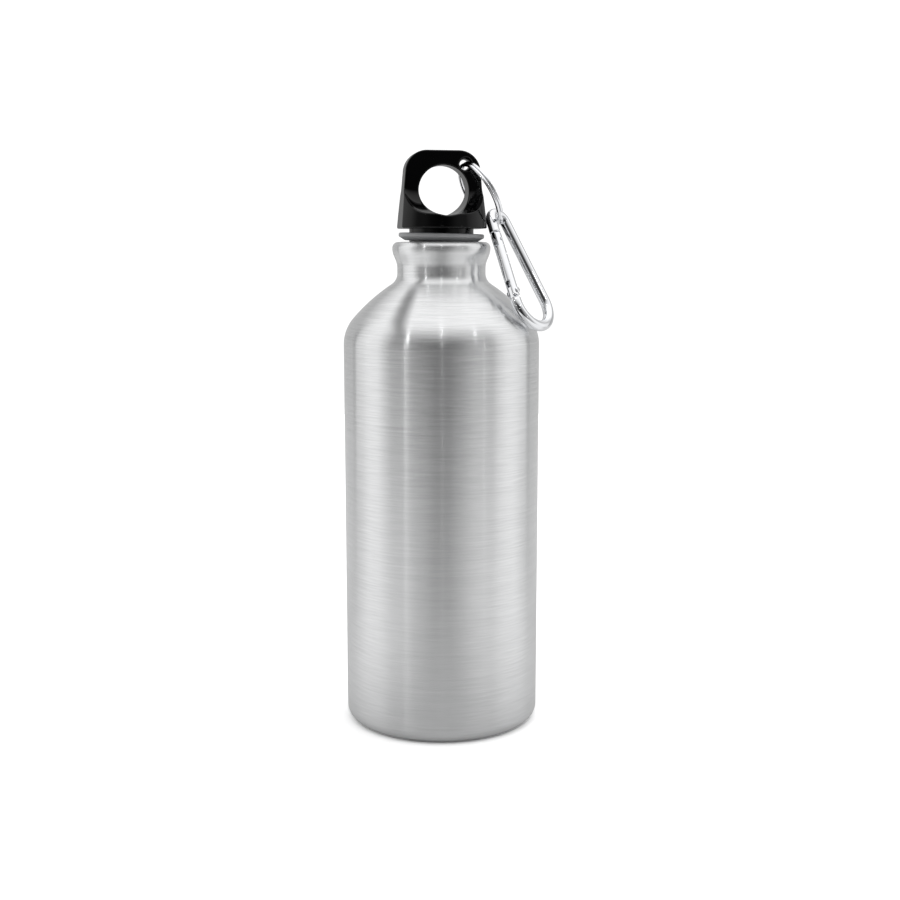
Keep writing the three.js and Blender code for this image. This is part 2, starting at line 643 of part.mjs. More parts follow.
const hook = new THREE.Group();
hook.add(hookFrame(), hookGate(), gateRivet(), latchPin(), gatePlunger(), gateSpring());
const hookFacing = new THREE.Vector3().crossVectors(HOOK_DOWN, HOOK_ACROSS).normalize();
const hookAcross = new THREE.Vector3().crossVectors(hookFacing, HOOK_DOWN).normalize();
const hookBasis = new THREE.Matrix4().makeBasis(hookAcross, hookFacing, HOOK_DOWN.clone().normalize());
hook.position.copy(ringCentre()).addScaledVector(RING_TO_SEAT, RING_RADIUS).add(HOOK_SEAT);
hook.quaternion.setFromRotationMatrix(hookBasis);

// The ring and the hook turn together about the cap's hole, drawn here as one hanging group.
const hanging = new THREE.Group();
hanging.add(splitRing(), hook);
const holeCentre = ringHoleCentre();
const holeAxis = new THREE.Vector3(Math.sin(degrees(CAP_TURN)), -Math.cos(degrees(CAP_TURN)), 0);

function hangAt(angle) {
  hanging.quaternion.setFromAxisAngle(holeAxis, degrees(angle));
  hanging.position.copy(holeCentre).sub(holeCentre.clone().applyQuaternion(hanging.quaternion));
  hanging.updateMatrixWorld(true);
}

// The least distance from the middle of the hook's rod to the shell's outer line, less the rod.
// The stretch of the line that is nearest says on which side of the shell a point is.
function hookGap() {
  const segments = OUTER.slice(1).map((to, i) => [OUTER[i], to]);
  return Math.min(...hookLine().map((point) => {
    const place = hook.localToWorld(new THREE.Vector3(point.x, 0, point.y));
    const r = Math.hypot(place.x, place.y);
    let nearest = { away: Infinity, outside: true };
    segments.forEach(([[r0, z0], [r1, z1]]) => {
      const length = Math.hypot(r1 - r0, z1 - z0) || 1;
      const along = THREE.MathUtils.clamp(
        ((r - r0) * (r1 - r0) + (place.z - z0) * (z1 - z0)) / length ** 2, 0, 1);
      const away = Math.hypot(r - r0 - along * (r1 - r0), place.z - z0 - along * (z1 - z0));
      const beside = (r - r0) * (z1 - z0) - (place.z - z0) * (r1 - r0) > 0;
      const outside = beside || place.z > COLLAR;
      if (away < nearest.away) nearest = { away, outside };
    });
    return (nearest.outside ? nearest.away : -nearest.away) - HOOK_ROD;
  }));
}

// On a wider bottle the shoulder lifts the hook outwards, a degree at a time, until it is clear.
let lean = 0;
hangAt(lean);
while (hookGap() < HOOK_CLEARANCE && lean < 90) {
  lean += 1;
  hangAt(lean);
}

const cap = new THREE.Group();
cap.add(capBody());
cap.rotation.z = degrees(CAP_TURN);

const bottle = new THREE.Group();
bottle.add(bottleShell(), threadInsert(), sealRing(), capStem(), cap, hanging);

export default bottle;
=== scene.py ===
"""An aluminium drinking bottle with a loop cap, a split ring and a snap hook, detailed over its CAD frame."""
import json
import math

import bpy
import numpy as np
from mathutils import Matrix, Vector

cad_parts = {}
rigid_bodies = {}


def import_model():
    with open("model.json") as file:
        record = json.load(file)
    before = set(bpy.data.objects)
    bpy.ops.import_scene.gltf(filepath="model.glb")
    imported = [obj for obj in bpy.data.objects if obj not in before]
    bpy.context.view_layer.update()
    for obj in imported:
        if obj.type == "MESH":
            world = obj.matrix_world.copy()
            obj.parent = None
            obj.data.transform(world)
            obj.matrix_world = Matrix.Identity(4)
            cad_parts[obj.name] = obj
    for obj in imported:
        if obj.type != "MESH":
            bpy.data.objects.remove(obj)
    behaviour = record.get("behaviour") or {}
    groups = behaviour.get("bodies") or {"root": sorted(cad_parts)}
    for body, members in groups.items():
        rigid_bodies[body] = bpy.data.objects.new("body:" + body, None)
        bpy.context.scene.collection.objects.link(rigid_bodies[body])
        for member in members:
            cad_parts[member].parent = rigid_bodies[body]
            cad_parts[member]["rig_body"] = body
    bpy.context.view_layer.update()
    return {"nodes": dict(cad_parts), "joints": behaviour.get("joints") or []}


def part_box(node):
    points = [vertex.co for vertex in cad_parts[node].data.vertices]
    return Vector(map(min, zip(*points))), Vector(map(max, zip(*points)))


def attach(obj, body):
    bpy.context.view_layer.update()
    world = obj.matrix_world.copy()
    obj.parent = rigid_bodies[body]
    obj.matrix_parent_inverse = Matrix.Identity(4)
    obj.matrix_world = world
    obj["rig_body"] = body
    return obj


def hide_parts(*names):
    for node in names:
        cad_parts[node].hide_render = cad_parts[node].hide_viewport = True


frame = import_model()
JOINTS = {joint["name"]: joint for joint in frame["joints"]}
MM = 0.001


# ---- sizes in millimetres: the CAD model's, and those of the finer details ----

BODY_RADIUS = 36.5
BODY_HEIGHT = 143.2
WALL = 1.0
BASE_THICKNESS = 1.6
BASE_RECESS = 0.9
FOOT_OUTER = 32.0
FOOT_INNER = 27.5
FOOT_ROUNDING = 0.9
CORNER_RADIUS = 4.5
SHOULDER_BEND = 15.0
SHOULDER_TURN = math.radians(41)
CROWN_BEND = 70.0
NECK_BEND = 4.8
NECK_RADIUS = 16.4
NECK_STRAIGHT = 2.0
COLLAR_RADIUS = 18.2
COLLAR_RISE = 7.3
LIP_RISE = 2.2
MOUTH_RADIUS = 15.8

THREAD_PITCH = 4.0
THREAD_ROOT = 11.9
THREAD_DEPTH = 0.85
THREAD_CLEARANCE = 0.35
STEM_WALL = 1.8
STEM_TURNS = 3.6
INSERT_LENGTH = 11.0
FIT = 0.3

SEAL_HEIGHT = 3.4
SEAL_RADIUS = 15.9
SEAL_LEAN = math.radians(1.3)  # the loose ring lies a little askew on the lip
EDGE = 0.4  # the rounding on the ends of the threaded pieces

CAP_HEIGHT = 28.2
CAP_BASE_RADIUS = 17.9
CAP_NARROWING = 2.0
CAP_HALF_WIDTH = 15.68
CAP_TOP_HALF_WIDTH = 13.9
CAP_LEAN = math.radians(0.2)  # play in the thread lets the cap lean this much
CAP_SHOULDER_RADIUS = 8.0
CAP_SIDE = (5.0, 20.5)  # heights where the curve of its sides turns and ends
LOOP_HALF = 4.7
SCOOP_BOTTOM = 5.0
SCOOP_TOP = 15.0
SCOOP_CLIMB = 3.0  # how far its foot climbs towards the sides
FINGER_HOLE = (9.2, 0.2, 13.7)  # radius, across, and height above the skirt's bottom
RING_HOLE = (8.3, 23.2)  # across, and above the skirt's bottom
RING_HOLE_RADIUS = 1.8
RING_HOLE_FLARE = 0.7
POCKET_DEPTH = 2.6
CAP_CELL = 0.36  # the meshes' cell sizes
HOOK_CELL = 0.22
GATE_CELL = 0.18

RING_RADIUS = 12.4
RING_WIRE_WIDTH = 1.05
RING_WIRE_DEPTH = 1.3
RING_COIL_GAP = 0.12
RING_WIRE_CORNER = 0.42
RING_JOG = 32.0  # degrees between the ends of the wire
RING_END = 0.35  # the length of the wire's rounded end, and how much it narrows
RING_END_TAPER = 0.28
RING_FACING = (math.radians(21.2), math.radians(28.5))
RING_DOWN = Vector((0.493, 0.024, -0.87))

HOOK_LENGTH = 50.0
HOOK_ROD = 2.0
HOOK_TOP_BEND = 4.2
HOOK_BOTTOM_BEND = 9.0
GATE_PIVOT_DEPTH = 34.4
GATE_LENGTH = 24.0
GATE_TIP_GAP = 0.45
TONGUE_HALF = 0.75
SLOT_HALF = 0.95
RIVET_RADIUS = 0.6
PIN_RADIUS = 0.5
PIN_INSET = 3.0
PIN_CLEARANCE = 0.12
BORE = (1.15, 4.0, 12.2)  # radius, and where it starts and ends above the pivot
PLUNGER = (0.85, 2.1, 5.5)
SPRING_WIRE = 0.16
SPRING_TURNS = 6
SPRING_GAP = 0.25  # between the plunger and the spring's first coil
RIVET_HEAD = (1.1, 0.35)  # radius and thickness


# ---- meshes ----

def mesh_piece(name, points, faces, material, node, normals=None, sharp=None):
    """A piece from points in millimetres, with the given material. It takes its CAD node's place and body."""
    mesh = bpy.data.meshes.new(name)
    mesh.from_pydata((np.asarray(points, float) * MM).tolist(), [], faces)
    mesh.validate()
    piece = bpy.data.objects.new(name, mesh)
    bpy.context.scene.collection.objects.link(piece)
    mesh.shade_smooth()
    if sharp is not None:
        mesh.set_sharp_from_angle(angle=math.radians(sharp))
    if normals is not None:
        mesh.normals_split_custom_set_from_vertices(np.asarray(normals, float).tolist())
    mesh.materials.append(material)
    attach(piece, frame["nodes"][node]["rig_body"])
    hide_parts(node)


def arc(centre_r, centre_z, radius, start, end, steps):
    """Points along an arc, from one angle to another, in radians."""
    angles = np.linspace(start, end, steps + 1)
    return [(centre_r + radius * math.cos(a), centre_z + radius * math.sin(a)) for a in angles]


def rounded(corners, radius, steps=4):
    """A closed outline whose corners are rounded. A corner may give its own radius as a third number."""
    line = []
    count = len(corners)
    for i, corner in enumerate(corners):
        here = np.array(corner[:2], float)
        before = np.array(corners[i - 1][:2], float) - here
        after = np.array(corners[(i + 1) % count][:2], float) - here
        size_before, size_after = np.linalg.norm(before), np.linalg.norm(after)
        own = corner[2] if len(corner) > 2 else radius
        if own <= 0 or size_before < 1e-9 or size_after < 1e-9:
            line.append(tuple(here))
            continue
        before, after = before / size_before, after / size_after
        half = math.acos(float(np.clip(before @ after, -1, 1))) / 2
        if half > math.radians(88):
            line.append(tuple(here))
            continue
        reach = min(own / math.tan(half), 0.45 * size_before, 0.45 * size_after)
        for t in np.linspace(0, 1, steps + 1):
            a, b = here + before * reach, here + after * reach
            line.append(tuple((1 - t) ** 2 * a + 2 * t * (1 - t) * here + t ** 2 * b))
    return line


def lathe(profile, segments=128):
    """Turns a closed outline of (radius, height) pairs about Z. Points on the axis become one."""
    points, rows = [], []
    for r, z in profile:
        if r < 1e-6:
            rows.append([len(points)] * segments)
            points.append((0, 0, z))
            continue
        rows.append(list(range(len(points), len(points) + segments)))
        turns = [2 * math.pi * k / segments for k in range(segments)]
        points.extend((r * math.cos(a), r * math.sin(a), z) for a in turns)
    faces = []
    for i, row in enumerate(rows):
        upper = rows[(i + 1) % len(rows)]
        for k in range(segments):
            quad = [row[k], row[(k + 1) % segments], upper[(k + 1) % segments], upper[k]]
            corners = list(dict.fromkeys(quad))
            if len(corners) > 2:
                faces.append(corners)
    return np.array(points), faces


def sweep(centres, sides, ups, section):
    """Carries a section along a row of frames, and closes both ends with a fan."""
    section = np.asarray(section)
    points = [c + o * s + a * u for c, s, u in zip(centres, sides, ups) for o, a in section]
    n = len(section)
    faces = []
    for i in range(len(centres) - 1):
        for k in range(n):
            j = (k + 1) % n
            faces.append([i * n + k, i * n + j, (i + 1) * n + j, (i + 1) * n + k])
    last = (len(centres) - 1) * n
    points += [np.mean(points[:n], axis=0), np.mean(points[last:last + n], axis=0)]
    faces += [[(k + 1) % n, k, len(points) - 2] for k in range(n)]
    faces += [[last + k, last + (k + 1) % n, len(points) - 1] for k in range(n)]
    return np.array(points), faces


def placed(points, matrix):
    """Points carried from a piece's own frame to the shared one."""
    m = np.array(matrix)
    return np.asarray(points) @ m[:3, :3].T + m[:3, 3]


def smooth_max(a, b, k):
    """The larger of two distances, with the edge between them rounded over about k."""
    h = np.maximum(k - np.abs(a - b), 0) / k
    return np.maximum(a, b) + h * h * k / 4


def smooth_min(a, b, k):
    return -smooth_max(-a, -b, k)


def gradient(field, points, step=0.01):
    """A field's slope at each point, by small steps to both sides."""
    slopes = []
    for axis in range(3):
        shift = np.zeros(3)
        shift[axis] = step
        slopes.append((field(points + shift) - field(points - shift)) / (2 * step))
    return np.stack(slopes, axis=1)


def skin(field, low, high, cell):
    """The surface where a field of signed distance is zero, as points, quads and normals."""
    axes = [np.arange(a - cell, b + 2 * cell, cell) for a, b in zip(low, high)]
    grid = np.stack(np.meshgrid(*axes, indexing="ij"), axis=-1)
    shape = grid.shape[:3]
    value = np.concatenate([field(part) for part in np.array_split(grid.reshape(-1, 3), 16)])
    value = value.reshape(shape)
    value[np.abs(value) < 1e-7] = 1e-7
    inside = value < 0
    cells = tuple(n - 1 for n in shape)
    total, hits = np.zeros(cells + (3,)), np.zeros(cells)

    def window(offset):
        return tuple(slice(offset[d], offset[d] + cells[d]) for d in range(3))

    corners = [(i, j, k) for i in (0, 1) for j in (0, 1) for k in (0, 1)]
    for start in corners:
        for axis in range(3):
            if start[axis]:
                continue
            end = tuple(c + (d == axis) for d, c in enumerate(start))
            a, b = value[window(start)], value[window(end)]
            crossed = (a < 0) != (b < 0)
            t = np.where(crossed, a / np.where(crossed, a - b, 1), 0)
            point = grid[window(start)] + t[..., None] * (grid[window(end)] - grid[window(start)])
            total += np.where(crossed[..., None], point, 0)
            hits += crossed
    active = hits > 0
    number = -np.ones(cells, int)
    number[active] = np.arange(active.sum())
    points = total[active] / hits[active][:, None]

    faces = []
    for axis in range(3):
        u, v = [d for d in range(3) if d != axis]
        lower = [slice(1, -1)] * 3
        lower[axis] = slice(0, shape[axis] - 1)
        upper = list(lower)
        upper[axis] = slice(1, shape[axis])
        a, b = inside[tuple(lower)], inside[tuple(upper)]
        where = np.argwhere(a != b)
        flip = b[tuple(where.T)]
        base = where + np.array([0 if d == axis else 1 for d in range(3)])
        around = []
        for du, dv in ((0, 0), (1, 0), (1, 1), (0, 1)):
            index = base.copy()
            index[:, u] -= du
            index[:, v] -= dv
            around.append(number[tuple(index.T)])
        quads = np.stack(around, axis=1)
        if axis == 1:
            flip = ~flip
        quads[flip] = quads[flip][:, ::-1]
        faces.append(quads)
    faces = np.concatenate(faces)

    # a few short steps bring the points onto the surface
    for _ in range(4):
        slope = gradient(field, points)
        steep = np.maximum((slope ** 2).sum(axis=1), 0.05)
        move = -(field(points) / steep)[:, None] * slope
        size = np.linalg.norm(move, axis=1, keepdims=True)
        points = points + move * np.minimum(1, 0.4 * cell / np.maximum(size, 1e-9))
    slope = gradient(field, points, 0.03)
    normals = slope / np.maximum(np.linalg.norm(slope, axis=1, keepdims=True), 1e-9)
    return points, faces.tolist(), normals


# ---- materials ----


class Nodes:
    """A small helper that adds shader nodes and joins their sockets."""

    def __init__(self, tree):
        self.tree = tree
        tree.nodes.clear()

    def add(self, kind, settings=None, **inputs):
        node = self.tree.nodes.new(kind)
        for key, value in (settings or {}).items():
            setattr(node, key, value)
        for key, value in inputs.items():
            self.put(node, key.replace("_", " "), value)
        return node

    def put(self, node, key, value):
        socket = node.inputs[int(key) if key.isdigit() else key]
        if isinstance(value, bpy.types.NodeSocket):
            self.tree.links.new(value, socket)
        else:
            socket.default_value = value

    def math(self, operation, a, b=0.0):
        node = self.tree.nodes.new("ShaderNodeMath")
        node.operation = operation
        self.put(node, "0", a)
        self.put(node, "1", b)
        return node.outputs[0]

    def noise(self, vector, scale, detail=4.0, rough=0.5):
        node = self.add("ShaderNodeTexNoise", Vector=vector, Scale=scale, Detail=detail, Roughness=rough)
        return node.outputs["Fac"]

    def spread(self, value, low, high, out_low, out_high):
        node = self.add("ShaderNodeMapRange", Value=value)
        for key, number in zip(("1", "2", "3", "4"), (low, high, out_low, out_high)):
            self.put(node, key, number)
        return node.outputs[0]

    def tint(self, factor, dark, light):
        node = self.add("ShaderNodeMix", {"data_type": "RGBA"})
        self.put(node, "0", factor)
        node.inputs[6].default_value = (*dark, 1)
        node.inputs[7].default_value = (*light, 1)
        return node.outputs[2]

    def bump(self, height, distance, strength=1.0, normal=None):
        node = self.add("ShaderNodeBump", Height=height, Distance=distance, Strength=strength)
        if normal is not None:
            self.put(node, "Normal", normal)
        return node.outputs["Normal"]


def new_material(name):
    material = bpy.data.materials.new(name)
    material.use_nodes = True
    nodes = Nodes(material.node_tree)
    shader = nodes.add("ShaderNodeBsdfPrincipled")
    output = nodes.add("ShaderNodeOutputMaterial")
    material.node_tree.links.new(shader.outputs[0], output.inputs[0])
    place = nodes.add("ShaderNodeTexCoord").outputs["Object"]
    return material, nodes, shader, place


def stretched(nodes, place, scale):
    return nodes.add("ShaderNodeMapping", Vector=place, Scale=scale).outputs[0]


def brushed_aluminium():
    """Turned and brushed round the axis: fine lines, soft patches of polish, a few light rubs."""
    material, nodes, shader, place = new_material("brushed_aluminium")
    lines = nodes.noise(stretched(nodes, place, (70, 70, 2300)), 1.0, 3.0, 0.65)
    broad = nodes.noise(stretched(nodes, place, (16, 16, 600)), 1.0, 2.0, 0.5)
    patches = nodes.noise(stretched(nodes, place, (22, 22, 30)), 1.0, 3.0, 0.55)
    grain = nodes.math("ADD", nodes.math("MULTIPLY", lines, 0.85), nodes.math("MULTIPLY", broad, 0.15))
    nodes.put(shader, "Base Color", nodes.tint(
        nodes.spread(grain, 0.25, 0.75, 0, 1), (0.68, 0.685, 0.69), (0.86, 0.865, 0.87)))
    rough = nodes.math("ADD", nodes.spread(grain, 0.25, 0.75, 0.235, 0.265),
                       nodes.spread(patches, 0.3, 0.7, -0.01, 0.015))
    nodes.put(shader, "Roughness", rough)
    shader.inputs["Metallic"].default_value = 1.0
    shader.inputs["Anisotropic"].default_value = 1.0
    shader.inputs["Anisotropic Rotation"].default_value = 0.25
    tangent = nodes.add("ShaderNodeTangent", {"direction_type": "RADIAL", "axis": "Z"})
    nodes.put(shader, "Tangent", tangent.outputs[0])
    nodes.put(shader, "Normal", nodes.bump(grain, 0.00001, 0.04))
    return material


def chrome():
    """Bright plating, with faint polishing lines and a slightly duller film in places."""
    material, nodes, shader, place = new_material("chrome")
    film = nodes.noise(stretched(nodes, place, (160, 160, 160)), 1.0, 4.0, 0.6)
    fine = nodes.noise(stretched(nodes, place, (900, 900, 2600)), 1.0, 3.0, 0.6)
    nodes.put(shader, "Base Color", nodes.tint(film, (0.82, 0.83, 0.85), (0.90, 0.905, 0.92)))
    nodes.put(shader, "Roughness", nodes.spread(film, 0.45, 0.75, 0.0, 0.05))
    shader.inputs["Metallic"].default_value = 1.0
    nodes.put(shader, "Normal", nodes.bump(fine, 0.000002, 0.05))
    return material


def black_plastic():
    """Glossy moulded plastic: a faint orange-peel, hazy handling marks, and painted shade where seen edge-on.
    """
    material, nodes, shader, place = new_material("black_plastic")
    haze = nodes.noise(stretched(nodes, place, (70, 70, 70)), 1.0, 5.0, 0.6)
    peel = nodes.noise(stretched(nodes, place, (420, 420, 420)), 1.0, 2.0, 0.5)
    grain = nodes.noise(stretched(nodes, place, (3800, 3800, 3800)), 1.0, 3.0, 0.6)
    nodes.put(shader, "Base Color", nodes.tint(haze, (0.0006, 0.0006, 0.0007), (0.0018, 0.0018, 0.002)))
    nodes.put(shader, "Roughness", nodes.spread(haze, 0.35, 0.75, 0.07, 0.15))
    shader.inputs["Specular IOR Level"].default_value = 0.25
    first = nodes.bump(peel, 0.00002, 0.3)
    nodes.put(shader, "Normal", nodes.bump(grain, 0.000004, 0.4, first))
    # painted shade: a near-black matt layer is mixed in where the surface is seen edge-on, darkening its
    # reflections there
    edge = nodes.add("ShaderNodeLayerWeight", Blend=0.5).outputs["Facing"]
    matt = nodes.add("ShaderNodeBsdfDiffuse", Color=(0.002, 0.002, 0.002, 1))
    mix = nodes.add("ShaderNodeMixShader")
    nodes.put(mix, "0", nodes.spread(edge, 0.6, 0.9, 0, 0.4))
    nodes.put(mix, "1", shader.outputs[0])
    nodes.put(mix, "2", matt.outputs[0])
    output = next(node for node in material.node_tree.nodes if node.type == "OUTPUT_MATERIAL")
    nodes.put(output, "0", mix.outputs[0])
    return material


def soft_plastic(name, dark, light, rough, fine, depth):
    """A matt moulded surface: fine grain, slight mottling of colour and gloss."""
    material, nodes, shader, place = new_material(name)
    mottle = nodes.noise(stretched(nodes, place, (260, 260, 260)), 1.0, 4.0, 0.6)
    grain = nodes.noise(stretched(nodes, place, (fine, fine, fine)), 1.0, 3.0, 0.6)
    nodes.put(shader, "Base Color", nodes.tint(mottle, dark, light))
    nodes.put(shader, "Roughness", nodes.spread(mottle, 0.3, 0.7, rough - 0.05, rough + 0.06))
    nodes.put(shader, "Normal", nodes.bump(grain, depth, 0.5))
    return material


def drawn_steel():
    """Bright drawn wire and a turned pin."""
    material, nodes, shader, place = new_material("spring_steel")
    lines = nodes.noise(stretched(nodes, place, (4000, 4000, 600)), 1.0, 3.0, 0.6)
    nodes.put(shader, "Base Color", nodes.tint(lines, (0.42, 0.43, 0.45), (0.60, 0.61, 0.63)))
    nodes.put(shader, "Roughness", nodes.spread(lines, 0.3, 0.7, 0.2, 0.34))
    shader.inputs["Metallic"].default_value = 1.0
    nodes.put(shader, "Normal", nodes.bump(lines, 0.000005, 0.3))
    return material


ALUMINIUM = brushed_aluminium()
CHROME = chrome()
BLACK = black_plastic()
INSERT = soft_plastic("insert_plastic", (0.55, 0.56, 0.57), (0.66, 0.67, 0.68), 0.4, 2600, 0.00001)
SILICONE = soft_plastic("silicone", (0.32, 0.325, 0.33), (0.42, 0.425, 0.43), 0.42, 3000, 0.00002)
STEEL = drawn_steel()


# ---- bottle ----

STEEPEST = math.acos(
    (SHOULDER_BEND + (CROWN_BEND - SHOULDER_BEND) * math.cos(SHOULDER_TURN) + NECK_BEND - BODY_RADIUS
     + NECK_RADIUS) / (CROWN_BEND + NECK_BEND))
NECK_FOOT = (BODY_HEIGHT + (SHOULDER_BEND - CROWN_BEND) * math.sin(SHOULDER_TURN)
             + (CROWN_BEND + NECK_BEND) * math.sin(STEEPEST))
WAIST = NECK_FOOT + NECK_STRAIGHT
COLLAR = WAIST + COLLAR_RISE
LIP_TOP = COLLAR + LIP_RISE


def outer_line():
    """The shell's outer line from the corner of the base up to the collar's widest."""
    span = (BODY_RADIUS - FOOT_OUTER) / CORNER_RADIUS
    line = [(FOOT_OUTER + (r - FOOT_OUTER) * span, z)
            for r, z in arc(FOOT_OUTER, CORNER_RADIUS, CORNER_RADIUS, -math.pi / 2, 0, 16)]
    line += [(BODY_RADIUS, z) for z in np.linspace(CORNER_RADIUS, BODY_HEIGHT, 24)[1:]]
    crown_r = BODY_RADIUS - SHOULDER_BEND + (SHOULDER_BEND - CROWN_BEND) * math.cos(SHOULDER_TURN)
    crown_z = BODY_HEIGHT + (SHOULDER_BEND - CROWN_BEND) * math.sin(SHOULDER_TURN)
    line += arc(BODY_RADIUS - SHOULDER_BEND, BODY_HEIGHT, SHOULDER_BEND, 0, SHOULDER_TURN, 20)[1:]
    line += arc(crown_r, crown_z, CROWN_BEND, SHOULDER_TURN, STEEPEST, 18)[1:]
    line += arc(NECK_RADIUS + NECK_BEND, NECK_FOOT, NECK_BEND, STEEPEST - math.pi, -math.pi, 18)[1:]
    line += [(NECK_RADIUS, z) for z in np.linspace(NECK_FOOT, WAIST, 4)[1:]]
    for t in np.linspace(0, 1, 17)[1:]:
        blend = 3 * t * t * (1 - t) + t ** 3
        height = 3 * t * (1 - t) ** 2 * 0.42 + 3 * t * t * (1 - t) * 0.55 + t ** 3
        line.append((NECK_RADIUS + (COLLAR_RADIUS - NECK_RADIUS) * blend, WAIST + COLLAR_RISE * height))
    return line


def inset(line, distance):
    """The same line moved inwards, square to it."""
    moved = []
    for i, (r, z) in enumerate(line):
        (r0, z0), (r1, z1) = line[max(0, i - 1)], line[min(len(line) - 1, i + 1)]
        length = math.hypot(r1 - r0, z1 - z0)
        moved.append((r - distance * (z1 - z0) / length, z + distance * (r1 - r0) / length))
    return moved


def make_shell():
    outer = outer_line()
    inner = [p for p in inset(outer, WALL) if p[1] > CORNER_RADIUS + 0.5]
    lip_radius = LIP_TOP - COLLAR
    lip_r = COLLAR_RADIUS - lip_radius
    foot = arc(FOOT_INNER + FOOT_ROUNDING, FOOT_ROUNDING, FOOT_ROUNDING, -math.pi, -math.pi / 2, 6)
    profile = foot + outer
    profile += arc(lip_r, COLLAR, lip_radius, 0, math.pi / 2, 14)[1:]
    profile += arc(MOUTH_RADIUS + 0.2, LIP_TOP - WALL / 2, WALL / 2, math.pi / 2, 3 * math.pi / 2, 8)
    profile += arc(lip_r, COLLAR, lip_radius - WALL, math.pi / 2, 0, 8)
    profile += inner[::-1]
    profile += [(BODY_RADIUS - WALL, CORNER_RADIUS), (FOOT_OUTER, BASE_THICKNESS)]
    profile += [(FOOT_INNER - BASE_THICKNESS, BASE_RECESS + BASE_THICKNESS)]
    profile += [(0, BASE_RECESS + BASE_THICKNESS), (0, BASE_RECESS)]
    profile += [(FOOT_INNER - 2 * BASE_RECESS, BASE_RECESS)]
    points, faces = lathe(profile, 224)
    mesh_piece("shell", points, faces, ALUMINIUM, "bottle_shell", sharp=50)


make_shell()


# ---- thread, seal and stem ----

CAP_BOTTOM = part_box("cap_body")[0][2] / MM
STEM_BOTTOM, STEM_TOP = (corner[2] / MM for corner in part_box("cap_stem"))
SEAL_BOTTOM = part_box("seal_ring")[0][2] / MM
INSERT_TOP = LIP_TOP - FIT
RIDGE_FOOT = 0.3 * THREAD_PITCH
RIDGE_CREST = 0.14 * THREAD_PITCH
THREAD_START = STEM_BOTTOM + RIDGE_FOOT + 0.4


def ridge_height(along, crest, foot):
    """A ridge's height, from 0 to 1, at a distance along the axis from its middle."""
    x = np.clip((foot - np.abs(along)) / (foot - crest), 0, 1)
    return x * x * (3 - 2 * x)


def thread_wall(radius, depth, low, high, start, turns, widen, fade, steps=96, rows=150):
    """A threaded wall as rows of rings: each point's radius follows the helix that passes it."""
    heights = np.linspace(low, high, rows)
    angles = np.linspace(0, 2 * math.pi, steps, endpoint=False)
    z, a = np.meshgrid(heights, angles, indexing="ij")
    grown = np.zeros_like(z)
    for turn in range(int(turns) + 2):
        travelled = turn + a / (2 * math.pi)
        along = z - start - THREAD_PITCH * travelled
        ends = np.clip(np.minimum(travelled, turns - travelled) / fade, 0, 1)
        shape = ridge_height(along, RIDGE_CREST + widen, RIDGE_FOOT + widen)
        grown = np.maximum(grown, shape * ends * (travelled <= turns))
    r = radius + depth * grown
    return np.stack([r * np.cos(a), r * np.sin(a), z], axis=-1)


def closed_rings(rings):
    """Faces between rows of rings, the last joined to the first."""
    rows, steps = rings.shape[:2]
    faces = []
    for i in range(rows):
        j = (i + 1) % rows
        for k in range(steps):
            m = (k + 1) % steps
            faces.append([i * steps + k, i * steps + m, j * steps + m, j * steps + k])
    return rings.reshape(-1, 3), faces


def ring_rows(profile, steps=96):
    """The same kind of rows for a profile of (radius, height) pairs."""
    angles = np.linspace(0, 2 * math.pi, steps, endpoint=False)
    return np.array([[(r * math.cos(a), r * math.sin(a), z) for a in angles] for r, z in profile])


def make_stem():
    inner = THREAD_ROOT - STEM_WALL
    outside = thread_wall(THREAD_ROOT, THREAD_DEPTH, STEM_BOTTOM + 0.3, STEM_TOP - 0.3, THREAD_START,
                          STEM_TURNS, 0, 0.4)
    axis = 0.01  # the closed ends meet this close to the axis
    top = ring_rows([(THREAD_ROOT - 0.1, STEM_TOP - 0.1), (THREAD_ROOT - EDGE, STEM_TOP), (axis, STEM_TOP)])
    ceiling = STEM_TOP - STEM_WALL
    inside = ring_rows([(axis, ceiling), (inner - 0.8, ceiling), (inner - 0.2, ceiling - 0.2),
                        (inner, ceiling - 0.8), (inner, STEM_BOTTOM + 0.3), (inner + 0.1, STEM_BOTTOM + 0.1),
                        (inner + EDGE, STEM_BOTTOM), (THREAD_ROOT - EDGE, STEM_BOTTOM),
                        (THREAD_ROOT - 0.1, STEM_BOTTOM + 0.1)])
    points, faces = closed_rings(np.concatenate([outside, top, inside]))
    mesh_piece("stem", points, faces, BLACK, "cap_stem", sharp=50)


def make_insert():
    bore = THREAD_ROOT + THREAD_CLEARANCE
    bottom = INSERT_TOP - INSERT_LENGTH
    groove = thread_wall(bore, THREAD_DEPTH, bottom + 0.2, INSERT_TOP - 0.2, THREAD_START - THREAD_PITCH,
                         STEM_TURNS + 3, THREAD_CLEARANCE, 0.1)
    seat = [p for p in inset(outer_line(), WALL + FIT) if bottom + 0.2 < p[1] < COLLAR - 0.2]
    under = LIP_TOP - WALL - FIT
    rim = MOUTH_RADIUS - 0.2 - FIT
    widest = COLLAR_RADIUS - WALL - FIT
    outside = [(bore + 0.2, INSERT_TOP), (rim - 0.2, INSERT_TOP), (rim, INSERT_TOP - 0.2), (rim, under),
               (widest - 0.8, under), (widest, COLLAR), *seat[::-1], (seat[0][0] - 0.1, bottom + 0.1),
               (seat[0][0] - 0.3, bottom), (bore + 0.2, bottom)]
    points, faces = closed_rings(np.concatenate([groove, ring_rows(outside)]))
    mesh_piece("insert", points, faces, INSERT, "thread_insert", sharp=40)


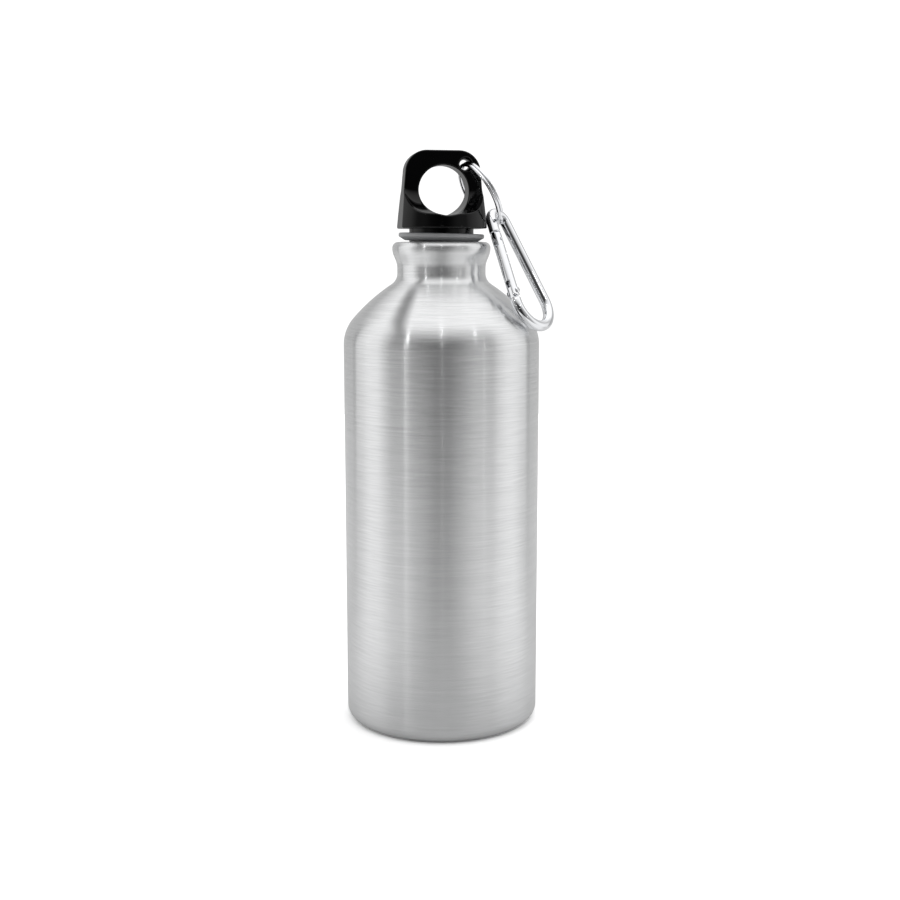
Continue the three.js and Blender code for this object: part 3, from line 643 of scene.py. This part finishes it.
def make_seal():
    bore = THREAD_ROOT + THREAD_DEPTH + THREAD_CLEARANCE
    top = SEAL_BOTTOM + SEAL_HEIGHT
    sink = SEAL_RADIUS * math.sin(SEAL_LEAN)
    height = top - SEAL_BOTTOM
    foot = SEAL_BOTTOM + 0.9 * sink
    brim = SEAL_RADIUS - 0.08
    upper = top - 0.9 * sink
    corners = [(bore, foot, 0.2), (SEAL_RADIUS - 2.4, foot, 0.4), (brim, SEAL_BOTTOM + 0.5 * height, 0.3),
               (brim, top - 0.5 * sink - 0.4, 0.3), (brim - 0.4, upper, 0.3), (bore, upper, 0.25)]
    profile = rounded(corners, 0, 5)
    points, faces = lathe(profile, 160)
    middle = Matrix.Translation((0, 0, SEAL_BOTTOM + height / 2))
    lean = middle @ Matrix.Rotation(SEAL_LEAN, 4, "Y") @ middle.inverted()
    mesh_piece("seal", placed(points, lean), faces, SILICONE, "seal_ring", sharp=60)


make_stem()
make_insert()
make_seal()


# ---- cap ----

hole_axis = Vector(JOINTS["ring_swing"]["axis"])
CAP_TURN = math.atan2(hole_axis.x, -hole_axis.y)
CAP_PLACE = (Matrix.Translation((0, 0, CAP_BOTTOM)) @ Matrix.Rotation(CAP_TURN, 4, "Z")
             @ Matrix.Rotation(CAP_LEAN, 4, "Y"))


def cap_field(p):
    """Distance to the cap in its own frame, with Z from the skirt's bottom and Y through the finger hole."""
    x, y, z = np.abs(p[:, 0]), np.abs(p[:, 1]), p[:, 2]
    spring = CAP_HEIGHT - CAP_SHOULDER_RADIUS
    bend = CAP_TOP_HALF_WIDTH - CAP_SHOULDER_RADIUS
    turn, end = CAP_SIDE
    bow = end - 2 * turn
    t = (np.sqrt(turn ** 2 + bow * np.clip(z, 0, spring)) - turn) / bow
    width = ((1 - t) ** 2 * CAP_HALF_WIDTH + 2 * t * (1 - t) * (CAP_HALF_WIDTH - 0.4)
             + t * t * CAP_TOP_HALF_WIDTH)
    sides = np.maximum(x - width, -CAP_SHOULDER_RADIUS)
    crown = np.hypot(np.maximum(x - bend, 0), np.maximum(z - spring, 0)) - CAP_SHOULDER_RADIUS
    front = np.where(z > spring, crown, sides)

    reach = CAP_BASE_RADIUS + 1
    low = SCOOP_BOTTOM + SCOOP_CLIMB * (x / CAP_TOP_HALF_WIDTH) ** 8
    depth, rise = reach - LOOP_HALF, SCOOP_TOP - np.minimum(low, SCOOP_BOTTOM + 2 * SCOOP_CLIMB)
    u, v = (y - reach) / depth, (z - SCOOP_TOP) / rise
    size = np.maximum(np.hypot(u, v), 1e-6)
    slope = np.maximum(np.hypot(u / depth, v / rise) / size, 1e-6)
    scoop = np.where(z > SCOOP_TOP, y - LOOP_HALF, (1 - size) / slope)
    scoop = np.clip(scoop, -12, 12)

    skirt_slope = np.interp(z, [0, SCOOP_BOTTOM, 13, 16], [
        CAP_BASE_RADIUS, CAP_BASE_RADIUS - 0.3 * CAP_NARROWING, CAP_BASE_RADIUS - CAP_NARROWING, 24])
    around = np.hypot(p[:, 0], p[:, 1])
    skirt = around - skirt_slope

    body = smooth_max(front, scoop, 0.6)
    body = smooth_max(body, skirt, 0.4)
    body = smooth_max(body, -z, 0.7)
    radius, across, height = FINGER_HOLE
    body = smooth_max(body, radius - np.hypot(p[:, 0] - across, z - height), 0.6)
    flare = RING_HOLE_RADIUS + RING_HOLE_FLARE * (np.minimum(y, LOOP_HALF) / LOOP_HALF) ** 2
    body = smooth_max(body, flare - np.hypot(p[:, 0] - RING_HOLE[0], z - RING_HOLE[1]), 0.5)
    pocket = -np.maximum(around - THREAD_ROOT - FIT, z - POCKET_DEPTH)
    return smooth_max(body, pocket, 0.4)


def make_cap():
    size = CAP_BASE_RADIUS + 0.2
    points, faces, normals = skin(cap_field, (-16.2, -size, -0.3), (16.2, size, CAP_HEIGHT + 0.3), CAP_CELL)
    turn = np.array(CAP_PLACE.to_3x3())
    mesh_piece("cap", placed(points, CAP_PLACE), faces, BLACK, "cap_body", normals @ turn.T)


make_cap()


# ---- split ring ----

def make_ring():
    """Two coils of flat wire side by side; a short jog carries the wire from one to the other."""
    azimuth, elevation = RING_FACING
    axis = Vector((math.cos(elevation) * math.cos(azimuth), math.cos(elevation) * math.sin(azimuth),
                   math.sin(elevation)))
    centre = Vector(JOINTS["ring_swing"]["pos_m"]) / MM + RING_DOWN * RING_RADIUS
    turn = np.array(Vector((0, 0, 1)).rotation_difference(axis).to_matrix())
    offset = (RING_WIRE_WIDTH + RING_COIL_GAP) / 2
    reach = 360 - RING_JOG
    w, d = RING_WIRE_WIDTH / 2, RING_WIRE_DEPTH / 2
    section = rounded([(-d, -w), (d, -w), (d, w), (-d, w)], RING_WIRE_CORNER, 5)
    # a few short steps at each end of the wire, for its rounding
    stops = np.concatenate([[-1, -0.99, -0.97], np.linspace(-0.95, 0.95, 361), [0.97, 0.99, 1]])
    centres, sides, ups = [], [], []
    for angle in np.interp(stops, [-1, -0.95, 0.95, 1], [-reach, 2 - reach, reach - 2, reach]):
        across = np.clip(angle / (0.8 * RING_JOG), -1, 1)
        a = math.radians(angle)
        out = np.array([math.cos(a), math.sin(a), 0.0])
        centres.append(RING_RADIUS * out + np.array([0, 0, offset * math.sin(across * math.pi / 2)]))
        from_end = math.radians(reach - abs(angle)) * RING_RADIUS
        size = 1 - RING_END_TAPER * max(0, 1 - from_end / RING_END) ** 2
        sides.append(out * size)
        ups.append(np.array([0, 0, size]))
    points, faces = sweep(centres, sides, ups, section)
    points = points @ turn.T + np.array(centre)
    mesh_piece("ring", points, faces, CHROME, "split_ring", sharp=40)


make_ring()


# ---- snap hook ----

TOP_BEND_DEPTH = HOOK_ROD + HOOK_TOP_BEND
BOTTOM_BEND_DEPTH = HOOK_LENGTH - HOOK_ROD - HOOK_BOTTOM_BEND
FLARE = math.asin((HOOK_BOTTOM_BEND - HOOK_TOP_BEND) / (BOTTOM_BEND_DEPTH - TOP_BEND_DEPTH))
PIVOT_X = (-HOOK_TOP_BEND * math.cos(FLARE)
           - math.tan(FLARE) * (GATE_PIVOT_DEPTH - TOP_BEND_DEPTH + HOOK_TOP_BEND * math.sin(FLARE)))
NOSE = GATE_LENGTH + GATE_TIP_GAP
HEEL = HOOK_ROD + 0.6
PIN_RISE = GATE_LENGTH - PIN_INSET

gate_y = Vector(JOINTS["gate_swing"]["axis"]).normalized()
gate_z = Vector(JOINTS["plunger_slide"]["axis"]).normalized()
gate_x = gate_y.cross(gate_z)
pivot = Vector(JOINTS["gate_swing"]["pos_m"]) / MM
GATE_PLACE = Matrix((gate_x, gate_y, gate_z)).transposed().to_4x4()
GATE_PLACE.translation = pivot
GATE_TURN = np.array(GATE_PLACE.to_3x3())


def to_hook(p):
    """From the gate's frame to the hook's flat frame: across from the gate to the spine, and down."""
    x = math.cos(FLARE) * p[:, 0] + math.sin(FLARE) * p[:, 2] + PIVOT_X
    z = math.sin(FLARE) * p[:, 0] - math.cos(FLARE) * p[:, 2] + GATE_PIVOT_DEPTH
    return x, z


def box_field(p, low, high, soft):
    """Distance to a box between two corners, with its edges rounded."""
    low, high = np.array(low) + soft, np.array(high) - soft
    q = np.abs(p - (low + high) / 2) - (high - low) / 2
    return (np.linalg.norm(np.maximum(q, 0), axis=1) + np.minimum(q.max(axis=1), 0)) - soft


def hook_field(p):
    """Distance to the bent rod: two arcs and two straight sides, with the gate's length left out."""
    x, z = to_hook(p)
    centred = []
    for side in (-1, 1):
        a = np.array([side * HOOK_TOP_BEND * math.cos(FLARE),
                      TOP_BEND_DEPTH - HOOK_TOP_BEND * math.sin(FLARE)])
        b = np.array([side * HOOK_BOTTOM_BEND * math.cos(FLARE),
                      BOTTOM_BEND_DEPTH - HOOK_BOTTOM_BEND * math.sin(FLARE)])
        run = b - a
        t = np.clip(((x - a[0]) * run[0] + (z - a[1]) * run[1]) / (run @ run), 0, 1)
        centred.append(np.hypot(x - a[0] - t * run[0], z - a[1] - t * run[1]))
    bends = ((TOP_BEND_DEPTH, HOOK_TOP_BEND, -1), (BOTTOM_BEND_DEPTH, HOOK_BOTTOM_BEND, 1))
    for depth, radius, way in bends:
        dx, dz = x, z - depth
        size = np.hypot(dx, dz)
        # the arc ends where the straight sides touch it
        within = way * dz + size * math.sin(FLARE) * way >= 0
        centred.append(np.where(within, np.abs(size - radius), 1e3))
    rod = np.hypot(np.min(centred, axis=0), p[:, 1]) - HOOK_ROD
    gap = box_field(p, (-3.5, -4, -HEEL), (3.5, 4, NOSE), 0.05)
    rod = smooth_max(rod, -gap, 0.35)
    nose = box_field(p, (-1.5, -TONGUE_HALF, PIN_RISE - 1.7), (1.4, TONGUE_HALF, NOSE + 0.8), 0.15)
    half = PIN_RADIUS + 0.25
    notch = box_field(p, (-half, -2, PIN_RISE - half), (4, 2, PIN_RISE + half), 0.2)
    nose = smooth_max(nose, -notch, 0.15)
    heel = box_field(p, (-1.55, -TONGUE_HALF, -HEEL - 0.8), (1.55, TONGUE_HALF, 1.9), 0.15)
    heel = smooth_max(heel, RIVET_RADIUS + PIN_CLEARANCE - np.hypot(p[:, 0], p[:, 2]), 0.1)
    return smooth_min(smooth_min(rod, nose, 0.15), heel, 0.15)


def gate_field(p):
    """Distance to the gate in its own frame, with Z from the pivot to the nose."""
    around = np.hypot(p[:, 0], p[:, 1]) - HOOK_ROD
    heel = np.where(p[:, 2] > 0, np.abs(p[:, 0]), np.hypot(p[:, 0], p[:, 2])) - HOOK_ROD
    body = smooth_max(np.maximum(around, heel), p[:, 2] - GATE_LENGTH, 0.4)
    slot_top = GATE_LENGTH - PIN_INSET - 2.3
    for low, high in ((-4, 4.2), (slot_top, GATE_LENGTH + 2)):
        slot = box_field(p, (-4, -SLOT_HALF, low), (4, SLOT_HALF, high), 0.1)
        body = smooth_max(body, -slot, 0.25)
    radius, start, end = BORE
    along = np.abs(p[:, 2] - (start + end) / 2) - (end - start) / 2
    body = np.maximum(body, -np.maximum(np.hypot(p[:, 0], p[:, 1]) - radius, along))
    body = smooth_max(body, RIVET_RADIUS + PIN_CLEARANCE - np.hypot(p[:, 0], p[:, 2]), 0.15)
    return smooth_max(body, PIN_RADIUS + PIN_CLEARANCE - np.hypot(p[:, 0], p[:, 2] - PIN_RISE), 0.15)


def make_hook():
    """The frame and the gate, each meshed in the gate's frame."""
    corners = []
    for x in (-HOOK_BOTTOM_BEND - 2.4, HOOK_BOTTOM_BEND + 2.4):
        for z in (-0.4, HOOK_LENGTH + 0.4):
            dx, dz = x - PIVOT_X, z - GATE_PIVOT_DEPTH
            corners.append((math.cos(FLARE) * dx + math.sin(FLARE) * dz,
                            math.sin(FLARE) * dx - math.cos(FLARE) * dz))
    corners = np.array(corners)
    low = (corners[:, 0].min(), -HOOK_ROD - 0.3, corners[:, 1].min())
    high = (corners[:, 0].max(), HOOK_ROD + 0.3, corners[:, 1].max())
    points, faces, normals = skin(hook_field, low, high, HOOK_CELL)
    mesh_piece("hook", placed(points, GATE_PLACE), faces, CHROME, "hook_frame", normals @ GATE_TURN.T)
    room = HOOK_ROD + 0.3
    low, high = (-room, -room, -room), (room, room, GATE_LENGTH + 0.3)
    points, faces, normals = skin(gate_field, low, high, GATE_CELL)
    mesh_piece("gate", placed(points, GATE_PLACE), faces, CHROME, "hook_gate", normals @ GATE_TURN.T)


def pin_place(rise):
    """A frame whose Z lies along the gate's swing axis, at a height above the pivot."""
    return GATE_PLACE @ Matrix.Translation((0, 0, rise)) @ Matrix.Rotation(math.pi / 2, 4, "X")


def turned(name, outline, segments, place, material, node):
    """A turned piece with its rounded corners, carried to its place."""
    points, faces = lathe(rounded(outline, 0, 4), segments)
    mesh_piece(name, placed(points, place), faces, material, node, sharp=50)


def make_pins():
    shank = HOOK_ROD + 0.15
    radius, head = RIVET_HEAD
    upper = [(RIVET_RADIUS, shank, 0.03), (radius - 0.02, shank, 0.05), (radius, shank + 0.12, 0.12),
             (radius - 0.25, shank + head, 0.3), (0, shank + head, 0)]
    lower = [(r, -z, corner) for r, z, corner in upper[::-1]]
    turned("rivet", lower + upper, 40, pin_place(0), CHROME, "gate_rivet")
    half = HOOK_ROD + 0.2
    outline = [(0, -half), (PIN_RADIUS, -half, 0.2), (PIN_RADIUS, half, 0.2), (0, half)]
    turned("pin", outline, 32, pin_place(PIN_RISE), CHROME, "latch_pin")


def make_inside():
    """The plunger and the coil spring that lie in the gate's bore."""
    radius, low, high = PLUNGER
    points, faces = lathe(rounded([(0, low), (radius, low, 0.4), (radius, high, 0.15), (0, high)], 0, 5), 32)
    mesh_piece("plunger", placed(points, GATE_PLACE), faces, STEEL, "gate_plunger", sharp=50)
    start, end = high + 2 * SPRING_WIRE + SPRING_GAP, BORE[2] - 2 * SPRING_WIRE
    mean = radius - SPRING_WIRE
    steps = 32 * SPRING_TURNS
    centres, sides = [], []
    for step in range(steps + 1):
        a = 2 * math.pi * SPRING_TURNS * step / steps
        out = np.array([math.cos(a), math.sin(a), 0])
        centres.append(mean * out + np.array([0, 0, start + (end - start) * step / steps]))
        sides.append(out)
    ring = np.linspace(0, 2 * math.pi, 10, endpoint=False)
    section = np.stack([SPRING_WIRE * np.cos(ring), SPRING_WIRE * np.sin(ring)], axis=1)
    points, faces = sweep(centres, sides, [np.array([0, 0, 1.0])] * len(centres), section)
    mesh_piece("spring", placed(points, GATE_PLACE), faces, STEEL, "gate_spring", sharp=60)


make_hook()
make_pins()
make_inside()


# ---- stage, light and camera ----

FLOOR_RADIUS = 0.75
FLOOR_GLOW = 1.5  # the table looks overexposed, as on a white sweep
FLOOR_SHIFT = 0.2  # the table reaches further behind the bottle than in front of it
BACKGROUND_GLOW = 1.1


def make_floor():
    """A round white table top with a painted glow. The dark room beyond its front edge shows in the metal."""
    steps = 96
    turns = [2 * math.pi * k / steps for k in range(steps)]
    mesh = bpy.data.meshes.new("floor")
    rim = [(FLOOR_RADIUS * math.cos(a), FLOOR_SHIFT + FLOOR_RADIUS * math.sin(a), 0) for a in turns]
    mesh.from_pydata(rim, [], [tuple(range(steps))])
    floor = bpy.data.objects.new("floor", mesh)
    bpy.context.scene.collection.objects.link(floor)
    material, nodes, shader, place = new_material("floor")
    shader.inputs["Base Color"].default_value = (0.6, 0.6, 0.6, 1)
    shader.inputs["Roughness"].default_value = 0.9
    shader.inputs["Specular IOR Level"].default_value = 0.1
    shader.inputs["Emission Color"].default_value = (1, 1, 1, 1)
    # painted light: the table's glow is painted by position, brighter out to the sides and dimmer along the
    # middle near the bottle and behind it, so it gives the metal less light there
    aside, behind, _ = nodes.add("ShaderNodeSeparateXYZ", Vector=place).outputs
    nodes.put(shader, "Emission Strength", nodes.math(
        "MULTIPLY", nodes.spread(nodes.math("ABSOLUTE", aside), 0.03, 0.14, 0.05, 0.42),
        nodes.spread(behind, 0.0, 0.1, 1, 0.35)))
    white = nodes.add("ShaderNodeBsdfDiffuse", Color=(FLOOR_GLOW, FLOOR_GLOW, FLOOR_GLOW, 1))
    output = nodes.add("ShaderNodeOutputMaterial")
    output.is_active_output = True
    show_by_ray(nodes, white.outputs[0], shader.outputs[0], output)
    mesh.materials.append(material)


def azimuth_ramp(nodes, turn, stops):
    """Light levels round the horizon: each stop is an angle from the front, in degrees, and a level."""
    ramp = nodes.add("ShaderNodeValToRGB", Fac=nodes.spread(turn, -math.pi, math.pi, 0, 1))
    elements = ramp.color_ramp.elements
    while len(elements) < len(stops):
        elements.new(0.5)
    for element, (angle, level) in zip(elements, stops):
        element.position = (angle + 180) / 360
        element.color = (level, level, level, 1)
    return ramp.outputs["Color"]


# Light round the horizon: a dark open front, a bright panel on each side and a mid-grey wall behind.
AROUND = ((-180, 0.54), (-128, 0.54), (-125, 0.4), (-121, 0.42), (-118, 0.8), (-98, 1.04), (-80, 0.98),
          (-70, 0.6), (-60, 0.27), (-46, 0.25), (-38, 0.22), (-26, 0.1), (-8, 0.03), (12, 0.03), (24, 0.12),
          (36, 0.3), (48, 0.4), (62, 0.38), (70, 0.7), (82, 0.96), (100, 1.04), (115, 0.86),
          (121, 0.42), (125, 0.4), (128, 0.54), (180, 0.54))
CEILING = 1.3
GAP = (-0.66, 0.06, 0.24)  # the ceiling's dark joint: how far left it runs, and its half widths
GAP_SLANT = 0.5
GAP_DARKNESS = 0.75


def make_world():
    """A white studio, dark towards its open front. What the camera sees past the table is plain white."""
    world = bpy.data.worlds.new("studio")
    bpy.context.scene.world = world
    world.use_nodes = True
    nodes = Nodes(world.node_tree)
    way = nodes.add("ShaderNodeTexCoord").outputs["Generated"]
    x, y, z = nodes.add("ShaderNodeSeparateXYZ", Vector=way).outputs
    turn = nodes.math("ARCTAN2", x, nodes.math("MULTIPLY", y, -1.0))
    blend = nodes.add("ShaderNodeMix", {"data_type": "RGBA"})
    nodes.put(blend, "0", nodes.spread(z, 0.42, 0.88, 0, 1))
    world.node_tree.links.new(azimuth_ramp(nodes, turn, AROUND), blend.inputs[6])
    blend.inputs[7].default_value = (CEILING, CEILING, CEILING, 1)
    middle, narrow, wide = GAP
    across = nodes.math("SUBTRACT", x, nodes.math("MULTIPLY", y, GAP_SLANT))
    aside = nodes.math("DIVIDE", across, nodes.math("MAXIMUM", z, 0.01))
    joint = nodes.spread(nodes.math("ABSOLUTE", nodes.math("SUBTRACT", aside, middle)), narrow, wide, 1, 0)
    joint = nodes.math("MULTIPLY", joint, nodes.spread(z, 0.45, 0.7, 0, GAP_DARKNESS))
    strength = nodes.math("SUBTRACT", 1.0, joint)
    lit = nodes.add("ShaderNodeBackground", Color=blend.outputs[2], Strength=strength)
    seen = nodes.add("ShaderNodeBackground", Color=(1, 1, 1, 1), Strength=BACKGROUND_GLOW)
    show_by_ray(nodes, seen.outputs[0], lit.outputs[0], nodes.add("ShaderNodeOutputWorld"))


def show_by_ray(nodes, seen, lit, output):
    """The stage looks white itself, whatever light it gives to the object."""
    mix = nodes.add("ShaderNodeMixShader")
    nodes.put(mix, "0", nodes.add("ShaderNodeLightPath").outputs["Is Camera Ray"])
    nodes.put(mix, "1", lit)
    nodes.put(mix, "2", seen)
    nodes.put(output, "0", mix.outputs[0])


# Name, azimuth and elevation in degrees, and watts.
LAMPS = (("left", -42, 27, 0.4), ("middle", 0, 48, 0.16), ("right", 45, 36, 0.14),
         ("low_left", -42, 6, 0.1), ("low_middle", 1, 12, 0.05), ("low_right", 50, 8, 0.05))
LAMP_SIZE = 0.06
LAMP_DISTANCE = 1.6
LAMP_TARGET = Vector((0, 0, 0.15))


def make_lamps():
    """Small lamps in front. Brushing draws each one out into a line down the wall."""
    for name, azimuth, elevation, power in LAMPS:
        data = bpy.data.lights.new("lamp_" + name, "AREA")
        data.shape = "DISK"
        data.size = LAMP_SIZE
        data.energy = power
        lamp = bpy.data.objects.new("lamp_" + name, data)
        bpy.context.scene.collection.objects.link(lamp)
        a, e = math.radians(azimuth), math.radians(elevation)
        way = Vector((math.sin(a) * math.cos(e), -math.cos(a) * math.cos(e), math.sin(e)))
        lamp.location = LAMP_TARGET + way * LAMP_DISTANCE
        lamp.rotation_euler = way.to_track_quat("Z", "Y").to_euler()


CAMERA_LENS = 52.7
CAMERA_PLACE = (0, -0.4939, 0.17806)
CAMERA_DOWN = 8.63  # degrees below level
CAMERA_RIGHT = 0.37  # degrees to the right


def make_camera():
    data = bpy.data.cameras.new("camera")
    data.lens = CAMERA_LENS
    camera = bpy.data.objects.new("camera", data)
    bpy.context.scene.collection.objects.link(camera)
    camera.location = CAMERA_PLACE
    camera.rotation_euler = (math.radians(90 - CAMERA_DOWN), 0, math.radians(-CAMERA_RIGHT))
    bpy.context.scene.camera = camera


make_floor()
make_world()
make_lamps()
make_camera()
bpy.context.scene.view_settings.view_transform = "Standard"
